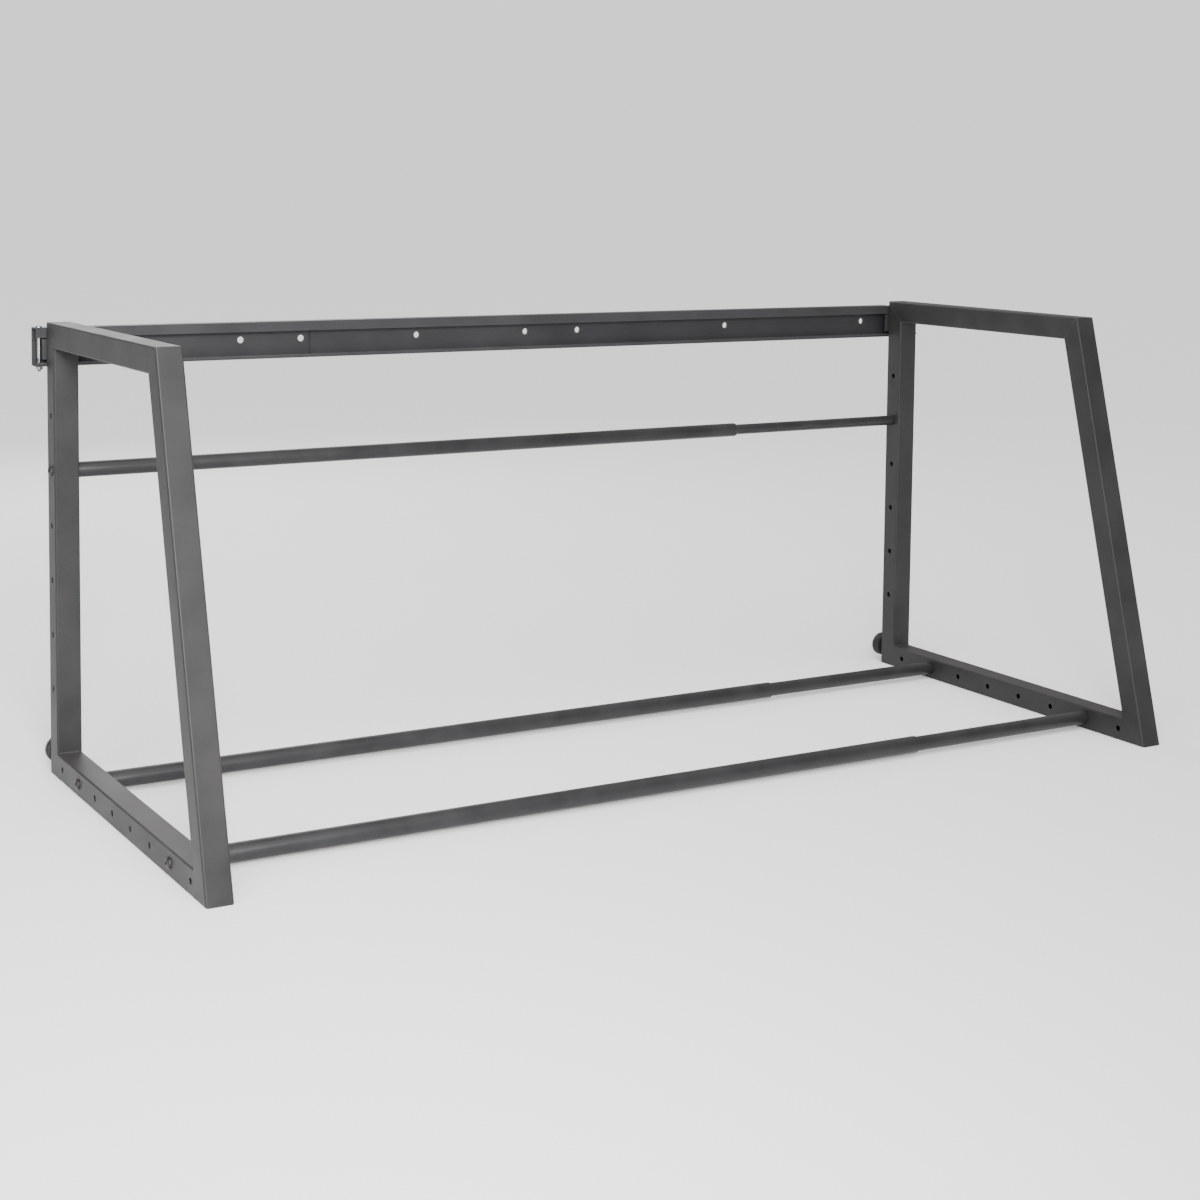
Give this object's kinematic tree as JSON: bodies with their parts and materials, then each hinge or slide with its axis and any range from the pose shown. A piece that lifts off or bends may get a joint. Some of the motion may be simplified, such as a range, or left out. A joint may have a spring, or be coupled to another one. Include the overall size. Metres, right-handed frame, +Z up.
{
  "type": "tyre storage rack",
  "caption": "Extending tyre storage rack of two welded square-tube end frames joined by telescoping round tubes and a telescoping wall rail.",
  "frame": {"origin": "on the floor under the middle of the rack's box, at the width shown", "axes": "+X along the rack from the fixed end frame to the sliding one, +Y towards the wall, +Z up"},
  "size_m": [1.776, 0.7584, 0.73],
  "materials": {
    "frame_coat": "satin graphite powder coat on welded square steel tube",
    "tube_coat": "satin graphite powder coat on round steel tube",
    "rail_coat": "satin graphite powder coat on roll-formed steel channel",
    "black_oxide": "black oxide steel bolts and tube plugs",
    "zinc_plate": "bright zinc plated steel fixings",
    "knob_nylon": "black moulded glass-filled nylon",
    "bush_nylon": "black moulded nylon"
  },
  "bodies": {
    "left_half": {"left_upright": "frame_coat", "left_top_bar": "frame_coat", "left_front_leg": "frame_coat", "left_bottom_bar": "frame_coat", "outer_rail": "rail_coat", "left_rail_bracket": "frame_coat", "left_bracket_screw_1": "zinc_plate", "left_bracket_screw_2": "zinc_plate", "rail_stop_bolt": "zinc_plate", "rail_stop_nut": "zinc_plate", "upper_guide_bush": "bush_nylon", "left_foot_nut": "zinc_plate", "upper_rear_outer_tube": "tube_coat", "upper_rear_left_plug": "black_oxide", "upper_rear_left_bolt": "black_oxide", "lower_rear_outer_tube": "tube_coat", "lower_rear_left_plug": "black_oxide", "lower_rear_left_bolt": "black_oxide", "lower_front_outer_tube": "tube_coat", "lower_front_left_plug": "black_oxide", "lower_front_left_bolt": "black_oxide"},
    "right_half": {"right_upright": "frame_coat", "right_top_bar": "frame_coat", "right_front_leg": "frame_coat", "right_bottom_bar": "frame_coat", "inner_rail": "rail_coat", "right_rail_bracket": "frame_coat", "right_bracket_screw_1": "zinc_plate", "right_bracket_screw_2": "zinc_plate", "right_foot_nut": "zinc_plate", "upper_rear_inner_tube": "tube_coat", "upper_rear_right_plug": "black_oxide", "upper_rear_right_bolt": "black_oxide", "lower_rear_inner_tube": "tube_coat", "lower_rear_right_plug": "black_oxide", "lower_rear_right_bolt": "black_oxide", "lower_front_inner_tube": "tube_coat", "lower_front_right_plug": "black_oxide", "lower_front_right_bolt": "black_oxide"},
    "left_foot_screw": {"left_foot_stud": "zinc_plate"},
    "left_foot_wheel": {"left_foot_knob": "knob_nylon"},
    "right_foot_screw": {"right_foot_stud": "zinc_plate"},
    "right_foot_wheel": {"right_foot_knob": "knob_nylon"}
  },
  "joints": [
    {"name": "width_slide", "type": "slide", "parent": "left_half", "child": "right_half", "axis": [1, 0, 0], "range_m": [-0.37, 0.69]},
    {"name": "left_foot_travel", "type": "slide", "parent": "left_half", "child": "left_foot_screw", "axis": [0, 1, 0], "range_m": [-0.006, 0.012]},
    {"name": "left_foot_turn", "type": "hinge", "parent": "left_foot_screw", "child": "left_foot_wheel", "pos_m": [-0.852, 0.37025, 0.032], "axis": [0, 1, 0], "range_deg": [-1440, 2880]},
    {"name": "right_foot_travel", "type": "slide", "parent": "right_half", "child": "right_foot_screw", "axis": [0, 1, 0], "range_m": [-0.006, 0.012]},
    {"name": "right_foot_turn", "type": "hinge", "parent": "right_foot_screw", "child": "right_foot_wheel", "pos_m": [0.833, 0.37025, 0.032], "axis": [0, 1, 0], "range_deg": [-1440, 2880]}
  ],
  "couplings": [
    {"joint": "left_foot_travel", "follows": "left_foot_turn", "m_per_rad": 0.0002387},
    {"joint": "right_foot_travel", "follows": "right_foot_turn", "m_per_rad": 0.0002387}
  ]
}
